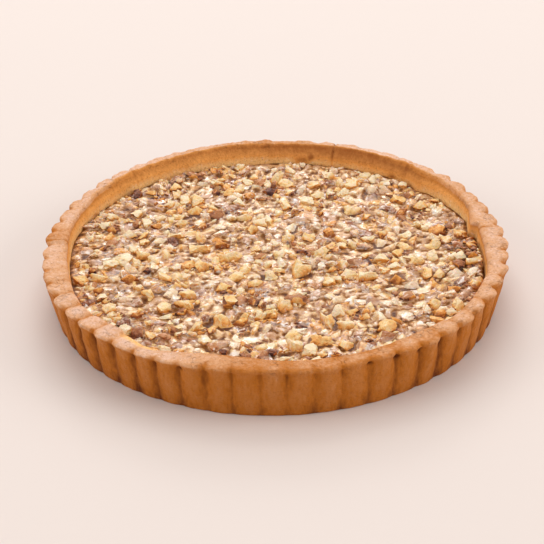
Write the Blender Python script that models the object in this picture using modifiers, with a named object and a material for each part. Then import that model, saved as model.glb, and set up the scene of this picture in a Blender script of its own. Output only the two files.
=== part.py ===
"""A walnut tart: a fluted shortcrust case, filled with chopped walnuts bound in syrup.

Two solids, one for each thing that is made apart. The case is a turned cup whose side is pinched
into flutes, and the filling stands in it on a hairline gap, with its largest nut pieces proud.
Metres, +Z up, with the underside on z = 0 and the middle of the tart at the origin.
"""

import math
import random

import bmesh
import bpy
import numpy as np
from mathutils import Matrix, Vector, noise

MM = 0.001
TART = "walnut_tart"

# The pastry case. Radii are over the crests of the flutes.
RIM_RADIUS = 115.0 * MM
BASE_RADIUS = 110.0 * MM
CREST_RADIUS = 110.0 * MM
CASE_HEIGHT = 26.0 * MM
INNER_RADIUS = 105.6 * MM
WALL_TOP = (INNER_RADIUS - 0.5 * MM, CASE_HEIGHT - 4.2 * MM)
WALL_FOOT = (INNER_RADIUS - 2.0 * MM, 5.0 * MM)
EDGE_ROUNDING = 1.7 * MM
RIM_WAVE = 0.5 * MM
RIM_WAVE_TURNS = 2.2

# The flutes are bulging panels with a narrow crease between two of them.
FLUTES = 57
FLUTE_DEPTH = 2.5 * MM
FLUTE_BULGE = 0.7
STEPS_PER_FLUTE = 6
FRONT = math.radians(-90)

# How strongly the flutes are pinched round the tart: angle in degrees and share of the depth
PINCH = [
    (0, 0.9), (60, 0.75), (150, 0.9), (174, 0.7), (181, 0.35), (190, 0.6), (202, 0.95),
    (222, 1.1), (238, 0.95), (252, 0.55), (290, 0.5), (305, 0.9), (335, 1.1), (360, 0.9),
]

# How far the dough reaches in at the rim: angle in degrees and reach in mm
REACH = [
    (0, 2.0), (4.5, 2.4), (8.7, 1.4), (9.7, 4.9), (12, 4.0), (15, 2.0), (18, 0.4), (21, 0.0),
    (38, 0.0), (42, 1.4), (47, 0.0), (165, 0.2), (172, 1.2), (177, 2.2), (186, 3.0), (192.5, 3.2),
    (197, 2.6), (204, 1.7), (210, 1.0), (214, 1.0), (217.5, 1.8), (221, 2.3), (226, 2.8),
    (227.7, 2.7), (229.3, 0.2), (232, -0.9), (238, -2.2), (241.7, -0.4), (245.8, 1.6),
    (252, 4.2), (258, 4.7), (264, 4.8), (267.5, 3.6), (270, 2.7), (276, 1.8), (282, 2.4),
    (287, 2.0), (293, 0.9), (300, 1.7), (306, 2.1), (314, 0.9), (319, -1.0), (328, -0.9),
    (336, 0.0), (343, -0.6), (351, 1.1), (357, 1.9), (360, 2.0),
]

# How far the rim is pressed in from outside at the front: angle in degrees and mm
PRESSED = [
    (250, 0.0), (258, 1.2), (265, 2.0), (270, 2.2), (276, 1.6), (282, 1.2), (288, 2.2),
    (292, 2.4), (297, 1.4), (302, 0.6), (308, 0.0),
]

# The far side stands higher and its wall leans out, and a lap in the dough makes a step.
BACK_RISE = 1.7 * MM
BACK_FLARE = 3.4 * MM
WALL_TOP_FLARE = 0.25
LAP = math.radians(177.5)
LAP_STEP = 1.0 * MM
LAP_LENGTH = math.radians(13)
LAP_EDGE = math.radians(0.8)

# The filling
FILLING_LEVEL = 17.4 * MM
FILLING_DOME = 0.6 * MM
CELLS_ACROSS = 26
CELL_SHIFT = 4.0 * MM
CELL_LIFT = 2.8 * MM
JUMBLE_SIZE = 4.3 * MM
FIT_GAP = 0.35 * MM
FIT_REACH = math.radians(2.2)
FIT_TRIES = 5

# Chopped walnuts: the length of each size and how many lie between the chief ones. At least
# NUT_SUNK of a piece's height is in the syrup, and it stands no more than NUT_PROUD out of it.
NUT_SIZES = [(12.0 * MM, 34), (10.0 * MM, 50), (8.0 * MM, 40)]
NUT_WIDTH = (0.6, 0.9)
NUT_LEAST_HEIGHT = 3.4 * MM
NUT_HEIGHT = 0.25
NUT_SUNK = 0.45
NUT_PROUD = 3.6 * MM
NUT_SPACING = 0.92
CORNER_CUT = (0.45, 1.0)
NUT_TILT = 0.35
NUT_CLEARANCE = 0.8 * MM
NUT_SHIFTS = 8
NUT_TRIES = 4000
SEED = 57

# The nut pieces that stand out most, as x, y, length across, depth and turn in degrees.
CHIEF_NUTS = [
    (-26, -62, 13, 13, 10),
    (-42, -47, 12, 8, 0),
    (-22, -45, 7, 9, 20),
    (-9, -44, 9, 8, -15),
    (-86, -18, 10, 6, 10),
    (-71, -21, 9, 6, -20),
    (-36, -11, 9, 8, 30),
    (-3, -20, 8, 11, 0),
    (-60, -37, 8, 10, 25),
    (10, -42, 12, 11, 0),
    (13, -16, 12, 13, 10),
    (59, -26, 8, 10, -10),
    (45, -22, 10, 8, 0),
    (51, -67, 9, 10, 15),
    (25, -63, 7, 12, -5),
    (20, -79, 12, 8, 10),
    (75, -48, 7, 9, 30),
    (80, 7, 9, 11, 10),
    (84, 22, 10, 10, -20),
    (66, 56, 9, 9, 0),
    (28, 21, 7, 10, -10),
    (41, 45, 11, 10, 0),
    (-42, 47, 8, 12, -20),
    (-16, 39, 9, 9, 15),
    (-38, 7, 11, 11, 0),
    (-22, -2, 11, 10, -10),
    (-2, 66, 8, 9, 20),
    (-43, 86, 9, 8, 0),
    (22, 74, 9, 8, 15),
    (-66, 1, 9, 7, 10),
]

CASE_COLOUR = (0.50, 0.22, 0.075, 1.0)
CASE_ROUGHNESS = 0.7
CASE_SHARP = 40
NUT_COLOUR = (0.47, 0.27, 0.12, 1.0)
NUT_ROUGHNESS = 0.35
NUT_SHARP = 14


def clear_scene():
    for thing in list(bpy.data.objects):
        bpy.data.objects.remove(thing)


def smooth(t):
    t = min(max(t, 0.0), 1.0)
    return t * t * (3.0 - 2.0 * t)


def smooth_between(value, low, high):
    return smooth((value - low) / (high - low))


def turn_between(angle, middle):
    """How far angle lies past middle, from -pi to pi."""
    return (angle - middle + math.pi) % (2.0 * math.pi) - math.pi


def along_table(table, angle):
    """Reads a table of (angle in degrees, amount) between its places."""
    turns, amounts = zip(*table)
    return float(np.interp(math.degrees(angle) % 360.0, turns, amounts))


def fold_reach(angle):
    """How far the dough reaches in at this angle."""
    return MM * along_table(REACH, angle)


def flute_depth(angle):
    """How deep the side is pinched here: nothing on a crest, most in a crease."""
    crest = abs(math.cos(0.5 * FLUTES * (angle - FRONT)))
    return along_table(PINCH, angle) * FLUTE_DEPTH * (1.0 - crest ** FLUTE_BULGE)


def flare(angle):
    """How far the rim leans out here."""
    return BACK_FLARE * smooth_between(math.sin(angle), 0.2, 0.65)


def rim_rise(angle):
    """The rim's rise and fall round the tart, with the step at the lap."""
    around = RIM_WAVE_TURNS * Vector((math.cos(angle), math.sin(angle), 0.0))
    rise = RIM_WAVE * (noise.noise(around) + noise.noise(3.0 * around))
    rise += BACK_RISE * smooth(math.sin(angle))
    past = turn_between(angle, LAP)
    fade = LAP_LENGTH if past < 0.0 else LAP_EDGE
    return rise + LAP_STEP * smooth(1.0 - abs(past) / fade)


def case_profile():
    """The case's section from the floor's middle, over the rim and down to its underside.

    Each point is its radius and height, then how much of the folds, the flutes, the rim's
    rise, the flare and the pressing in it takes.
    """
    edge = EDGE_ROUNDING
    return [
        (0.0, WALL_FOOT[1], 0.0, 0.0, 0.0, 0.0, 0.0),
        (*WALL_FOOT, 1.0, 0.0, 0.0, 0.0, 0.0),
        (*WALL_TOP, 1.0, 0.0, 0.5, WALL_TOP_FLARE, 0.0),
        (INNER_RADIUS + 0.2 * edge, CASE_HEIGHT - 0.9 * edge, 1.0, 0.0, 1.0, 0.95, 0.0),
        (INNER_RADIUS + edge, CASE_HEIGHT - 0.2 * edge, 0.8, 0.0, 1.0, 0.9, 0.0),
        (CREST_RADIUS, CASE_HEIGHT, 0.3, 0.15, 1.0, 0.5, 0.5),
        (RIM_RADIUS - edge, CASE_HEIGHT - 0.3 * edge, 0.0, 0.7, 1.0, 0.0, 1.0),
        (RIM_RADIUS, CASE_HEIGHT - edge, 0.0, 0.9, 1.0, 0.0, 1.0),
        (RIM_RADIUS - 0.3 * edge, CASE_HEIGHT - 2.0 * edge, 0.0, 1.2, 0.8, 0.0, 1.0),
        (BASE_RADIUS, 0.0, 0.0, 0.45, 0.0, 0.0, 0.0),
        (0.0, 0.0, 0.0, 0.0, 0.0, 0.0, 0.0),
    ]


def turned(name, profile, shares, steps):
    """A profile turned once about Z, as a mesh whose points keep their named shares."""
    mesh = bpy.data.meshes.new(name)
    shape = bmesh.new()
    points = [shape.verts.new((point[0], 0.0, point[1])) for point in profile]
    for start, end in zip(points, points[1:]):
        shape.edges.new((start, end))
    shape.to_mesh(mesh)
    shape.free()
    for place, share in enumerate(shares, start=2):
        layer = mesh.attributes.new(share, "FLOAT", "POINT")
        layer.data.foreach_set("value", [point[place] for point in profile])
    blank = bpy.data.objects.new(name, mesh)
    bpy.context.scene.collection.objects.link(blank)
    screw = blank.modifiers.new("turn", "SCREW")
    screw.steps = steps
    screw.render_steps = steps
    screw.use_merge_vertices = True
    screw.merge_threshold = 0.00001
    bpy.context.view_layer.update()
    evaluated = blank.evaluated_get(bpy.context.evaluated_depsgraph_get())
    result = bpy.data.meshes.new_from_object(evaluated)
    bpy.data.objects.remove(blank)
    return result


def shape_case(mesh):
    """Pinches the flutes, reaches the folds in and lets the rim rise and fall."""
    folds = mesh.attributes["folds"].data
    flutes = mesh.attributes["flutes"].data
    rise = mesh.attributes["rise"].data
    lean = mesh.attributes["flare"].data
    pressed = mesh.attributes["pressed"].data
    for vertex in mesh.vertices:
        x, y, z = vertex.co
        radius = math.hypot(x, y)
        if radius < FIT_GAP:
            continue
        angle = math.atan2(y, x)
        here = vertex.index
        shaped = radius - folds[here].value * fold_reach(angle)
        shaped -= flutes[here].value * flute_depth(angle)
        shaped += lean[here].value * flare(angle)
        shaped -= pressed[here].value * MM * along_table(PRESSED, angle)
        vertex.co = (
            shaped * math.cos(angle),
            shaped * math.sin(angle),
            z + rise[here].value * rim_rise(angle),
        )
    mesh.update()


def wall_radius(angle, height):
    """The inner wall's radius below its rounded edge."""
    up_the_wall = (height - WALL_FOOT[1]) / (WALL_TOP[1] - WALL_FOOT[1])
    leans_out = WALL_TOP[0] - WALL_FOOT[0] + WALL_TOP_FLARE * flare(angle)
    return WALL_FOOT[0] + up_the_wall * leans_out - fold_reach(angle)


def filling_radius(angle, height=FILLING_LEVEL):
    """The filling's outline, which keeps FIT_GAP from the wall and from a fold's steep end."""
    turns = [
        angle + FIT_REACH * step / FIT_TRIES
        for step in range(-FIT_TRIES, FIT_TRIES + 1)
    ]
    return min(wall_radius(turn, height) for turn in turns) - FIT_GAP


def disc_place(x, y):
    """Bends the square from -1 to 1 to a round disc, as angle and share of the radius."""
    if x == 0.0 and y == 0.0:
        return 0.0, 0.0
    if abs(x) > abs(y):
        share = abs(x)
        angle = math.pi / 4.0 * y / x
        if x < 0.0:
            angle += math.pi
    else:
        share = abs(y)
        angle = math.pi / 2.0 - math.pi / 4.0 * x / y
        if y < 0.0:
            angle += math.pi
    return angle, share


def surface_height(x, y):
    """The filling's top, a little domed."""
    out = math.hypot(x, y) / INNER_RADIUS
    return FILLING_LEVEL + FILLING_DOME * (1.0 - out * out)


def make_core():
    """The body of the filling: a round grid jumbled into small nut pieces, on a flat foot."""
    shape = bmesh.new()
    bmesh.ops.create_grid(shape, x_segments=CELLS_ACROSS, y_segments=CELLS_ACROSS, size=1.0)
    rim = [edge for edge in shape.edges if edge.is_boundary]
    outline = {vertex for edge in rim for vertex in edge.verts}
    for vertex in shape.verts:
        angle, share = disc_place(vertex.co.x, vertex.co.y)
        x = share * filling_radius(angle) * math.cos(angle)
        y = share * filling_radius(angle) * math.sin(angle)
        jumble = noise.noise_vector(Vector((x, y, 0.0)) / JUMBLE_SIZE)
        height = surface_height(x, y) + CELL_LIFT * jumble.z
        if vertex in outline:
            radius = filling_radius(angle, height)
            vertex.co = (radius * math.cos(angle), radius * math.sin(angle), height)
        else:
            vertex.co = (x + CELL_SHIFT * jumble.x, y + CELL_SHIFT * jumble.y, height)
    bmesh.ops.triangulate(shape, faces=shape.faces)
    drawn = bmesh.ops.extrude_edge_only(shape, edges=rim)["geom"]
    for vertex in [part for part in drawn if isinstance(part, bmesh.types.BMVert)]:
        angle = math.atan2(vertex.co.y, vertex.co.x)
        height = WALL_FOOT[1] + FIT_GAP
        radius = filling_radius(angle, height)
        vertex.co = (radius * math.cos(angle), radius * math.sin(angle), height)
    bmesh.ops.holes_fill(shape, edges=[e for e in shape.edges if e.is_boundary], sides=0)
    bmesh.ops.recalc_face_normals(shape, faces=shape.faces)
    mesh = bpy.data.meshes.new("walnut_filling")
    shape.to_mesh(mesh)
    shape.free()
    return mesh


def nut_size(length, width):
    return Vector((length, width, NUT_LEAST_HEIGHT + NUT_HEIGHT * max(length, width)))


def nut_places(draw):
    """Where the large pieces lie: the chief ones, then the rest by size, evenly spread."""
    places = []
    for x, y, across, deep, turn in CHIEF_NUTS:
        places.append((x * MM, y * MM, nut_size(across * MM, deep * MM), math.radians(turn)))
    for length, count in NUT_SIZES:
        left = count
        for _ in range(NUT_TRIES):
            if left == 0:
                break
            angle = draw.uniform(0.0, 2.0 * math.pi)
            radius = filling_radius(angle) * math.sqrt(draw.random())
            x = radius * math.cos(angle)
            y = radius * math.sin(angle)
            room = [
                math.hypot(x - other_x, y - other_y)
                - 0.5 * NUT_SPACING * (length + max(size.x, size.y))
                for other_x, other_y, size, _ in places
            ]
            if min(room) < 0.0:
                continue
            size = nut_size(length, length * draw.uniform(*NUT_WIDTH))
            places.append((x, y, size, draw.uniform(0.0, math.pi)))
            left -= 1
    return places


def overshoot(vertex):
    """How far this point lies past the filling's outline, and the way back to the middle."""
    radius = math.hypot(vertex.co.x, vertex.co.y)
    limit = filling_radius(math.atan2(vertex.co.y, vertex.co.x)) - NUT_CLEARANCE
    return radius - limit, Vector((-vertex.co.x, -vertex.co.y, 0.0)).normalized()


def make_nut(place, draw):
    """One chopped piece: the hull of a block whose corners are knocked in by chance."""
    x, y, size, turn = place
    shape = bmesh.new()
    bmesh.ops.create_cube(shape, size=1.0)
    for vertex in shape.verts:
        for axis in range(3):
            vertex.co[axis] *= size[axis] * draw.uniform(*CORNER_CUT)
    block = list(shape.faces)
    bmesh.ops.convex_hull(shape, input=shape.verts)
    bmesh.ops.delete(shape, geom=[face for face in block if face.is_valid], context="FACES")
    tilt = Matrix.Rotation(draw.uniform(-NUT_TILT, NUT_TILT), 4, "X")
    bmesh.ops.transform(shape, matrix=Matrix.Rotation(turn, 4, "Z") @ tilt, verts=shape.verts)
    heights = [vertex.co.z for vertex in shape.verts]
    lift = surface_height(x, y) - NUT_SUNK * size.z - min(heights)
    lift = min(lift, surface_height(x, y) + NUT_PROUD - max(heights))
    bmesh.ops.translate(shape, vec=(x, y, lift), verts=shape.verts)
    for _ in range(NUT_SHIFTS):
        past, inward = max(map(overshoot, shape.verts), key=lambda found: found[0])
        if past <= 0.0:
            break
        bmesh.ops.translate(shape, vec=past * inward, verts=shape.verts)
    bmesh.ops.recalc_face_normals(shape, faces=shape.faces)
    mesh = bpy.data.meshes.new("nut")
    shape.to_mesh(mesh)
    shape.free()
    return mesh


def keep_outer_shell(mesh):
    """Drops every shell but the largest: hollows that fusing sealed, and loose scraps."""
    shape = bmesh.new()
    shape.from_mesh(mesh)
    left = set(shape.faces)
    shells = []
    while left:
        shell = set()
        edge_on = [left.pop()]
        while edge_on:
            face = edge_on.pop()
            shell.add(face)
            for edge in face.edges:
                for beside in edge.link_faces:
                    if beside in left:
                        left.remove(beside)
                        edge_on.append(beside)
        shells.append(shell)
    shells.sort(key=len)
    for shell in shells[:-1]:
        bmesh.ops.delete(shape, geom=list(shell), context="FACES")
    bmesh.ops.recalc_face_normals(shape, faces=shape.faces)
    shape.to_mesh(mesh)
    shape.free()


def fuse(body, pieces):
    """Joins every piece to the body by one Boolean union, then drops the pieces."""
    union = body.modifiers.new("fuse", "BOOLEAN")
    union.operation = "UNION"
    union.solver = "EXACT"
    union.operand_type = "COLLECTION"
    union.collection = pieces
    bpy.context.view_layer.update()
    evaluated = body.evaluated_get(bpy.context.evaluated_depsgraph_get())
    fused = bpy.data.meshes.new_from_object(evaluated)
    body.modifiers.clear()
    body.data = fused
    keep_outer_shell(fused)
    for piece in list(pieces.objects):
        bpy.data.objects.remove(piece)
    bpy.data.collections.remove(pieces)


def plain_material(name, colour, roughness):
    material = bpy.data.materials.new(name)
    material.use_nodes = True
    shader = material.node_tree.nodes["Principled BSDF"]
    shader.inputs["Base Color"].default_value = colour
    shader.inputs["Roughness"].default_value = roughness
    shader.inputs["Metallic"].default_value = 0.0
    material.diffuse_color = colour
    return material


def finish_node(node, collection, material, sharp):
    node.data.materials.clear()
    node.data.materials.append(material)
    node.data.shade_smooth()
    node.data.set_sharp_from_angle(angle=math.radians(sharp))
    for owner in list(node.users_collection):
        owner.objects.unlink(node)
    collection.objects.link(node)


def make_case(collection):
    shares = ("folds", "flutes", "rise", "flare", "pressed")
    mesh = turned("pastry_crust", case_profile(), shares, FLUTES * STEPS_PER_FLUTE)
    shape_case(mesh)
    for share in shares:
        mesh.attributes.remove(mesh.attributes[share])
    case = bpy.data.objects.new("pastry_crust", mesh)
    pastry = plain_material("baked_pastry", CASE_COLOUR, CASE_ROUGHNESS)
    finish_node(case, collection, pastry, CASE_SHARP)
    return case


def make_filling(collection):
    draw = random.Random(SEED)
    filling = bpy.data.objects.new("walnut_filling", make_core())
    bpy.context.scene.collection.objects.link(filling)
    nuts = bpy.data.collections.new("nuts")
    bpy.context.scene.collection.children.link(nuts)
    for place in nut_places(draw):
        nuts.objects.link(bpy.data.objects.new("nut", make_nut(place, draw)))
    fuse(filling, nuts)
    walnut = plain_material("syruped_walnut", NUT_COLOUR, NUT_ROUGHNESS)
    finish_node(filling, collection, walnut, NUT_SHARP)
    return filling


def centre_on_origin(case, nodes):
    """Moves every node alike, so that the case's own box is centred on the Z axis."""
    for axis in (0, 1):
        reach = [vertex.co[axis] for vertex in case.data.vertices]
        middle = 0.5 * (min(reach) + max(reach))
        for node in nodes:
            for vertex in node.data.vertices:
                vertex.co[axis] -= middle


def main():
    clear_scene()
    collection = bpy.data.collections.new(TART)
    bpy.context.scene.collection.children.link(collection)
    case = make_case(collection)
    filling = make_filling(collection)
    centre_on_origin(case, [case, filling])


main()
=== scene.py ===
"""The looks of a walnut tart: its fluted, sandy case, and the chopped walnuts baked into syrup."""

import math
import random

import bmesh
import bpy
import numpy as np
from mathutils import Matrix, Vector, noise
from mathutils.bvhtree import BVHTree


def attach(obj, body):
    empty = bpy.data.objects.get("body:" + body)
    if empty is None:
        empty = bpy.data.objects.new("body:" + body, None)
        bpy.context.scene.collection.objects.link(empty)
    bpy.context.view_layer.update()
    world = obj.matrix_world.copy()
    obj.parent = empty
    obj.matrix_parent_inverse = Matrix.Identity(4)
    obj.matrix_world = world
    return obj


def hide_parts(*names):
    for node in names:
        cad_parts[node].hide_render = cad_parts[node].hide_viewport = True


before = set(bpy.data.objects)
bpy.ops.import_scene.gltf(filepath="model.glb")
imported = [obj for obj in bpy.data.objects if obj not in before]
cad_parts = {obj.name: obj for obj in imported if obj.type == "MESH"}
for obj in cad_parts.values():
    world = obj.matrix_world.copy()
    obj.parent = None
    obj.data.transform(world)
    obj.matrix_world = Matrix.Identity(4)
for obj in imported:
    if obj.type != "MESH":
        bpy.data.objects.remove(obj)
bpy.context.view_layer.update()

MM = 0.001
ROOT = "root"

# ---------- Driving sizes of the case, the same ones that its solid is turned from ----------
RIM_RADIUS = 115.0 * MM
BASE_RADIUS = 110.0 * MM
CREST_RADIUS = 110.0 * MM
CASE_HEIGHT = 26.0 * MM
INNER_RADIUS = 105.6 * MM
WALL_TOP = (INNER_RADIUS - 0.5 * MM, CASE_HEIGHT - 4.2 * MM)
WALL_FOOT = (INNER_RADIUS - 2.0 * MM, 5.0 * MM)
EDGE_ROUNDING = 1.7 * MM
RIM_WAVE = 0.5 * MM
RIM_WAVE_TURNS = 2.2

FLUTES = 57
FLUTE_DEPTH = 2.5 * MM
FLUTE_BULGE = 0.7
STEPS_PER_FLUTE = 18
FRONT = math.radians(-90)

# How strongly the flutes are pinched round the tart: angle in degrees and share of the depth
PINCH = [
    (0, 0.9), (60, 0.75), (150, 0.9), (174, 0.7), (181, 0.35), (190, 0.6), (202, 0.95),
    (222, 1.1), (238, 0.95), (252, 0.55), (290, 0.5), (305, 0.9), (335, 1.1), (360, 0.9),
]

# How far the dough reaches in at the rim: angle in degrees and reach in mm. Most of these were read
# off the photo as pixels and worked out with the fitted camera, then rounded.
REACH = [
    (0, 2.0), (4.5, 2.4), (8.7, 1.4), (9.7, 4.9), (12, 4.0), (15, 2.0), (18, 0.4), (21, 0.0),
    (38, 0.0), (42, 1.4), (47, 0.0), (165, 0.2), (172, 1.2), (177, 2.2), (186, 3.0), (192.5, 3.2),
    (197, 2.6), (204, 1.7), (210, 1.0), (214, 1.0), (217.5, 1.8), (221, 2.3), (226, 2.8),
    (227.7, 2.7), (229.3, 0.2), (232, -0.9), (238, -2.2), (241.7, -0.4), (245.8, 1.6),
    (252, 4.2), (258, 4.7), (264, 4.8), (267.5, 3.6), (270, 2.7), (276, 1.8), (282, 2.4),
    (287, 2.0), (293, 0.9), (300, 1.7), (306, 2.1), (314, 0.9), (319, -1.0), (328, -0.9),
    (336, 0.0), (343, -0.6), (351, 1.1), (357, 1.9), (360, 2.0),
]

# How far the rim is pressed in from outside at the front: angle in degrees and mm
PRESSED = [
    (250, 0.0), (258, 1.2), (265, 2.0), (270, 2.2), (276, 1.6), (282, 1.2), (288, 2.2),
    (292, 2.4), (297, 1.4), (302, 0.6), (308, 0.0),
]

# The far side stands higher and its wall leans out, and a lap in the dough makes a step.
BACK_RISE = 1.7 * MM
BACK_FLARE = 3.4 * MM
WALL_TOP_FLARE = 0.25
FLARED = (0.2, 0.65)
LAP = math.radians(177.5)
LAP_STEP = 1.0 * MM
LAP_LENGTH = math.radians(13)
LAP_EDGE = math.radians(0.8)

# ---------- Driving sizes of the filling ----------
FILLING_LEVEL = 17.4 * MM
FILLING_DOME = 0.6 * MM

SEED = 57


def smooth(t):
    t = min(max(t, 0.0), 1.0)
    return t * t * (3.0 - 2.0 * t)


def smooth_between(value, low, high):
    return smooth((value - low) / (high - low))


def along_table(table, value):
    """Reads a table of (place, amount) between its places."""
    places, amounts = zip(*table)
    return float(np.interp(value, places, amounts))


def degrees_round(angle):
    return math.degrees(angle) % 360.0


def polar(radius, angle):
    """The x and y of a point at this radius and angle."""
    return radius * math.cos(angle), radius * math.sin(angle)


def round_the_tart(angle):
    """A point on a circle of radius 1, for noise that closes on itself."""
    return Vector((*polar(1.0, angle), 0.0))


def rolling(x, y, across, offset=(0.0, 0.0, 0.0)):
    """Noise over the ground, with rises and hollows about this size across."""
    return noise.noise(Vector((x, y, 0.0)) / across + Vector(offset))


def turn_between(angle, middle):
    """How far angle lies past middle, from -pi to pi."""
    return (angle - middle + math.pi) % (2.0 * math.pi) - math.pi


def fold_reach(angle):
    """How far the dough reaches in at this angle."""
    return MM * along_table(REACH, degrees_round(angle))


def flare(angle):
    """How far the rim leans out here. FLARED is how far back that starts and is full."""
    return BACK_FLARE * smooth_between(math.sin(angle), *FLARED)


def rim_rise(angle):
    """The rim's rise and fall round the tart, with the step at the lap."""
    around = RIM_WAVE_TURNS * round_the_tart(angle)
    rise = RIM_WAVE * (noise.noise(around) + noise.noise(3.0 * around))
    rise += BACK_RISE * smooth(math.sin(angle))
    past = turn_between(angle, LAP)
    fade = LAP_LENGTH if past < 0.0 else LAP_EDGE
    return rise + LAP_STEP * smooth(1.0 - abs(past) / fade)


# ---------- Shader building ----------
# The mix node's sockets for colours
MIX_SHARE = 0
MIX_FIRST = 6
MIX_SECOND = 7
MIX_RESULT = 2


class Shades:
    """A node tree with short ways to add and wire its nodes."""

    def __init__(self, tree):
        self.tree = tree

    def add(self, kind, **settings):
        node = self.tree.nodes.new(kind)
        for name, value in settings.items():
            setattr(node, name, value)
        return node

    def wire(self, source, target):
        self.tree.links.new(source, target)

    def put(self, target, value):
        """Sets an input socket to a number or a colour, or wires an output to it."""
        if isinstance(value, bpy.types.NodeSocket):
            self.wire(value, target)
        else:
            target.default_value = value

    def fill(self, node, inputs):
        """Sets or wires the node's inputs, given by name."""
        for name, value in inputs.items():
            self.put(node.inputs[name], value)

    def place(self):
        return self.add("ShaderNodeTexCoord").outputs["Object"]

    def stretched(self, place, scale):
        node = self.add("ShaderNodeMapping")
        self.fill(node, {"Vector": place, "Scale": scale})
        return node.outputs["Vector"]

    def attribute(self, name):
        return self.add("ShaderNodeAttribute", attribute_name=name).outputs["Fac"]

    def math(self, operation, first, second=0.0):
        node = self.add("ShaderNodeMath", operation=operation)
        self.put(node.inputs[0], first)
        self.put(node.inputs[1], second)
        return node.outputs[0]

    def swayed(self, value, mask, amount):
        """A value moved up and down by a mask about 0.5."""
        sway = self.math("MULTIPLY", self.math("SUBTRACT", mask, 0.5), amount)
        return self.math("ADD", value, sway)

    def band(self, value, low, high, to_low=0.0, to_high=1.0):
        """Maps low..high smoothly to to_low..to_high."""
        node = self.add("ShaderNodeMapRange", interpolation_type="SMOOTHSTEP")
        self.fill(node, {"Value": value, "From Min": low, "From Max": high})
        self.fill(node, {"To Min": to_low, "To Max": to_high})
        return node.outputs["Result"]

    def grain(self, place, size, detail=3.0, roughness=0.55):
        """Noise with features about size across."""
        node = self.add("ShaderNodeTexNoise")
        self.fill(node, {"Vector": place, "Scale": 1.0 / size, "Detail": detail})
        self.fill(node, {"Roughness": roughness})
        return node.outputs["Fac"]

    def blend(self, share, first, second):
        """The first colour at share 0, the second at share 1."""
        node = self.add("ShaderNodeMix", data_type="RGBA")
        self.put(node.inputs[MIX_SHARE], share)
        self.put(node.inputs[MIX_FIRST], first)
        self.put(node.inputs[MIX_SECOND], second)
        return node.outputs[MIX_RESULT]

    def ramp(self, value, stops):
        """A colour ramp from (position, colour) stops."""
        node = self.add("ShaderNodeValToRGB")
        stripe = node.color_ramp
        while len(stripe.elements) < len(stops):
            stripe.elements.new(0.5)
        for element, (position, colour) in zip(stripe.elements, stops):
            element.position = position
            element.color = (*colour, 1.0)
        self.put(node.inputs["Fac"], value)
        return node.outputs["Color"]

    def bump(self, height, distance, strength):
        node = self.add("ShaderNodeBump")
        self.fill(node, {"Height": height, "Distance": distance, "Strength": strength})
        return node.outputs["Normal"]


def new_finish(name):
    """A material with its node tree and its Principled shader."""
    material = bpy.data.materials.new(name)
    material.use_nodes = True
    shades = Shades(material.node_tree)
    return material, shades, material.node_tree.nodes["Principled BSDF"]


def new_group(name, inputs, output):
    """A shader node group with its sockets, given as names and kinds: its shades and both ends."""
    tree = bpy.data.node_groups.new(name, "ShaderNodeTree")
    for socket, kind in inputs:
        tree.interface.new_socket(socket, in_out="INPUT", socket_type=f"NodeSocket{kind}")
    socket, kind = output
    tree.interface.new_socket(socket, in_out="OUTPUT", socket_type=f"NodeSocket{kind}")
    shades = Shades(tree)
    return shades, shades.add("NodeGroupInput"), shades.add("NodeGroupOutput")


# How far the mask of uneven browning is spread out from 0.5
MASK_SPREAD = 3.0


def mottle_group():
    """Uneven browning at two sizes, shared by the pastry and the nuts: a mask about 0.5."""
    inputs = [("Place", "Vector"), ("Broad", "Float"), ("Fine", "Float")]
    shades, given, result = new_group("uneven_browning", inputs, ("Mask", "Float"))
    parts = []
    for socket, detail in (("Broad", 2.0), ("Fine", 4.0)):
        speckle = shades.add("ShaderNodeTexNoise")
        place, scale = given.outputs["Place"], given.outputs[socket]
        shades.fill(speckle, {"Vector": place, "Scale": scale, "Detail": detail})
        parts.append(speckle.outputs["Fac"])
    both = shades.math("MULTIPLY", shades.math("ADD", *parts), 0.5 * MASK_SPREAD)
    centred = shades.math("ADD", both, 0.5 * (1.0 - MASK_SPREAD))
    shades.wire(centred, result.inputs["Mask"])
    return shades.tree


UNEVEN_BROWNING = mottle_group()


def mottled(shades, place, broad, fine):
    """The shared mask, with features of the two sizes."""
    node = shades.add("ShaderNodeGroup", node_tree=UNEVEN_BROWNING)
    shades.fill(node, {"Place": place, "Broad": 1.0 / broad, "Fine": 1.0 / fine})
    return node.outputs["Mask"]


TOASTED_SPECK = (0.36, 0.11, 0.02, 1.0)
LOOSE_FLOUR = (0.95, 0.74, 0.60, 1.0)
FISSURE_BROWN = (0.40, 0.12, 0.02, 1.0)
DRAWN_UPWARDS = (1.0, 1.0, 0.35)


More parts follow.
